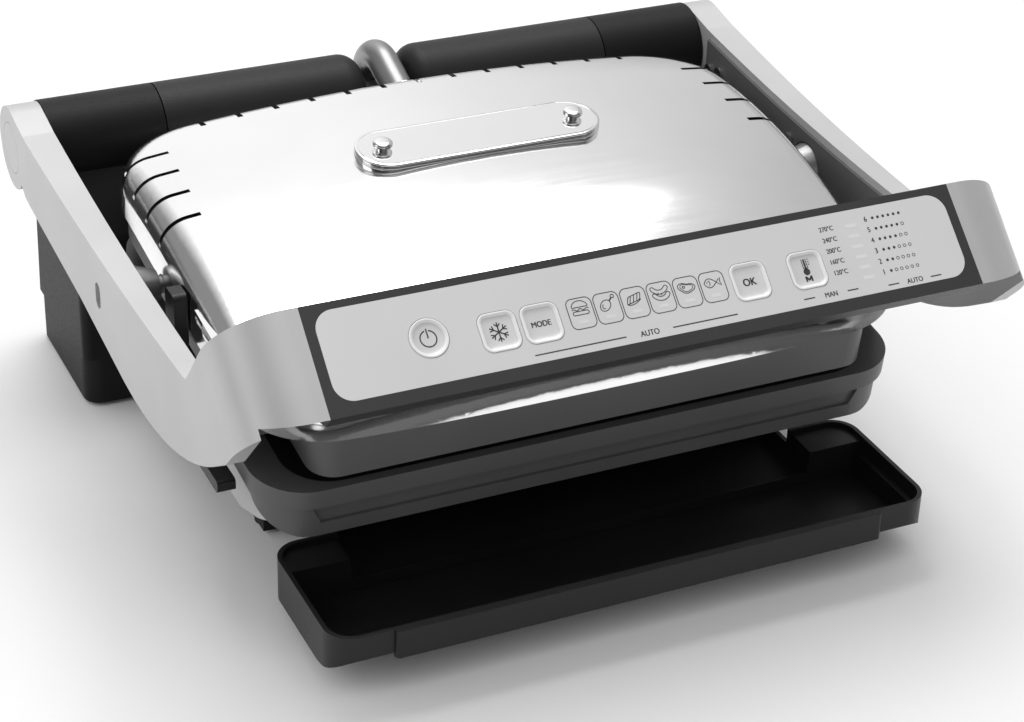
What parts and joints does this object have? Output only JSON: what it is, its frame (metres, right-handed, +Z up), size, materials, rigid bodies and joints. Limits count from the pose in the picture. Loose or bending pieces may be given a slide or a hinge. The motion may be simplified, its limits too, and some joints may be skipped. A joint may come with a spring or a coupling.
{
  "type": "electric contact grill",
  "caption": "Electric contact grill with a floating hinged lid, ribbed plates, a control panel in its handle and a pull-out drip tray.",
  "frame": {"origin": "on the worktop, under the middle of the whole grill with its tray pulled out as pictured", "axes": "+X right seen from the front, +Y to the back, +Z up"},
  "size_m": [0.365, 0.345, 0.1699],
  "materials": {
    "silver_plastic": "satin silver paint",
    "dark_plastic": "satin",
    "grey_plastic": "satin grey",
    "steel_cover": "polished stainless steel",
    "steel": "plain",
    "chrome": "bright",
    "cast_plate": "non-stick coated die-cast aluminium",
    "element": "heat-tinted",
    "reflector_sheet": "plain sheet",
    "circuit_board": "matt",
    "rubber": "matt",
    "clear_plastic": "translucent",
    "display_foil": "silver print",
    "key_plastic": "satin silver"
  },
  "bodies": {
    "base": {"lower_rim": "dark_plastic", "lower_skirt": "dark_plastic", "lower_shell": "silver_plastic", "bottom_housing": "dark_plastic", "left_tower": "grey_plastic", "right_tower": "grey_plastic", "left_barrel_cover": "grey_plastic", "right_barrel_cover": "grey_plastic", "rear_bridge": "dark_plastic", "hinge_shaft": "steel", "hinge_bushes": "steel", "thickness_sensor": "dark_plastic", "lower_plate": "cast_plate", "lower_heater": "element", "lower_reflector": "reflector_sheet", "lower_sensor": "steel", "power_board": "circuit_board", "cable_inlet": "dark_plastic", "feet": "rubber"},
    "handle": {"left_arm": "silver_plastic", "right_arm": "silver_plastic", "left_arm_liner": "dark_plastic", "right_arm_liner": "dark_plastic", "hinge_caps": "silver_plastic", "pivot_bosses": "silver_plastic", "pivot_screws": "steel", "liner_screws": "steel", "panel_frame": "dark_plastic", "panel_back": "dark_plastic", "panel_screws": "steel", "display_sheet": "display_foil", "keypad_mat": "rubber", "control_board": "circuit_board", "light_guides": "clear_plastic"},
    "lid": {"lid_cover": "steel_cover", "lid_frame": "dark_plastic", "upper_plate": "cast_plate", "upper_heater": "element", "upper_reflector": "reflector_sheet", "upper_sensor": "steel", "nameplate": "chrome", "nameplate_studs": "chrome", "conduit_tube": "chrome", "conduit_collar": "chrome", "upper_latch": "chrome"},
    "drip_tray": {"drip_tray": "dark_plastic"},
    "upper_release": {"upper_release": "dark_plastic"},
    "lower_release": {"lower_release": "dark_plastic"},
    "power_key": {"power_button": "key_plastic"},
    "defrost_key": {"defrost_button": "key_plastic"},
    "mode_key": {"mode_button": "key_plastic"},
    "ok_key": {"ok_button": "key_plastic"},
    "manual_key": {"manual_button": "key_plastic"}
  },
  "joints": [
    {"name": "handle_hinge", "type": "hinge", "parent": "base", "child": "handle", "pos_m": [0, 0.1325, 0.122], "axis": [-1, 0, 0], "range_deg": [0, 100]},
    {"name": "lid_float", "type": "hinge", "parent": "handle", "child": "lid", "pos_m": [0, 0.006, 0.1085], "axis": [1, 0, 0], "range_deg": [-1.5, 1.5]},
    {"name": "tray_slide", "type": "slide", "parent": "base", "child": "drip_tray", "axis": [0, 1, 0], "range_m": [-0.03, 0.05]},
    {"name": "lower_release_turn", "type": "hinge", "parent": "base", "child": "lower_release", "pos_m": [-0.155, -0.051, 0.05825], "axis": [1, 0, 0], "range_deg": [0, 12], "stiffness_Nm_per_rad": 0.3, "springref_deg": -11.46},
    {"name": "upper_release_turn", "type": "hinge", "parent": "lid", "child": "upper_release", "pos_m": [-0.155, -0.025, 0.1095], "axis": [-1, 0, 0], "range_deg": [0, 12], "stiffness_Nm_per_rad": 0.3, "springref_deg": -11.46},
    {"name": "power_press", "type": "slide", "parent": "handle", "child": "power_key", "axis": [0, 0.66, -0.7513], "range_m": [0, 0.0008], "stiffness_N_per_m": 400, "springref_m": -0.0006},
    {"name": "defrost_press", "type": "slide", "parent": "handle", "child": "defrost_key", "axis": [0, 0.66, -0.7513], "range_m": [0, 0.0008], "stiffness_N_per_m": 400, "springref_m": -0.0006},
    {"name": "mode_press", "type": "slide", "parent": "handle", "child": "mode_key", "axis": [0, 0.66, -0.7513], "range_m": [0, 0.0008], "stiffness_N_per_m": 400, "springref_m": -0.0006},
    {"name": "ok_press", "type": "slide", "parent": "handle", "child": "ok_key", "axis": [0, 0.66, -0.7513], "range_m": [0, 0.0008], "stiffness_N_per_m": 400, "springref_m": -0.0006},
    {"name": "manual_press", "type": "slide", "parent": "handle", "child": "manual_key", "axis": [0, 0.66, -0.7513], "range_m": [0, 0.0008], "stiffness_N_per_m": 400, "springref_m": -0.0006}
  ]
}
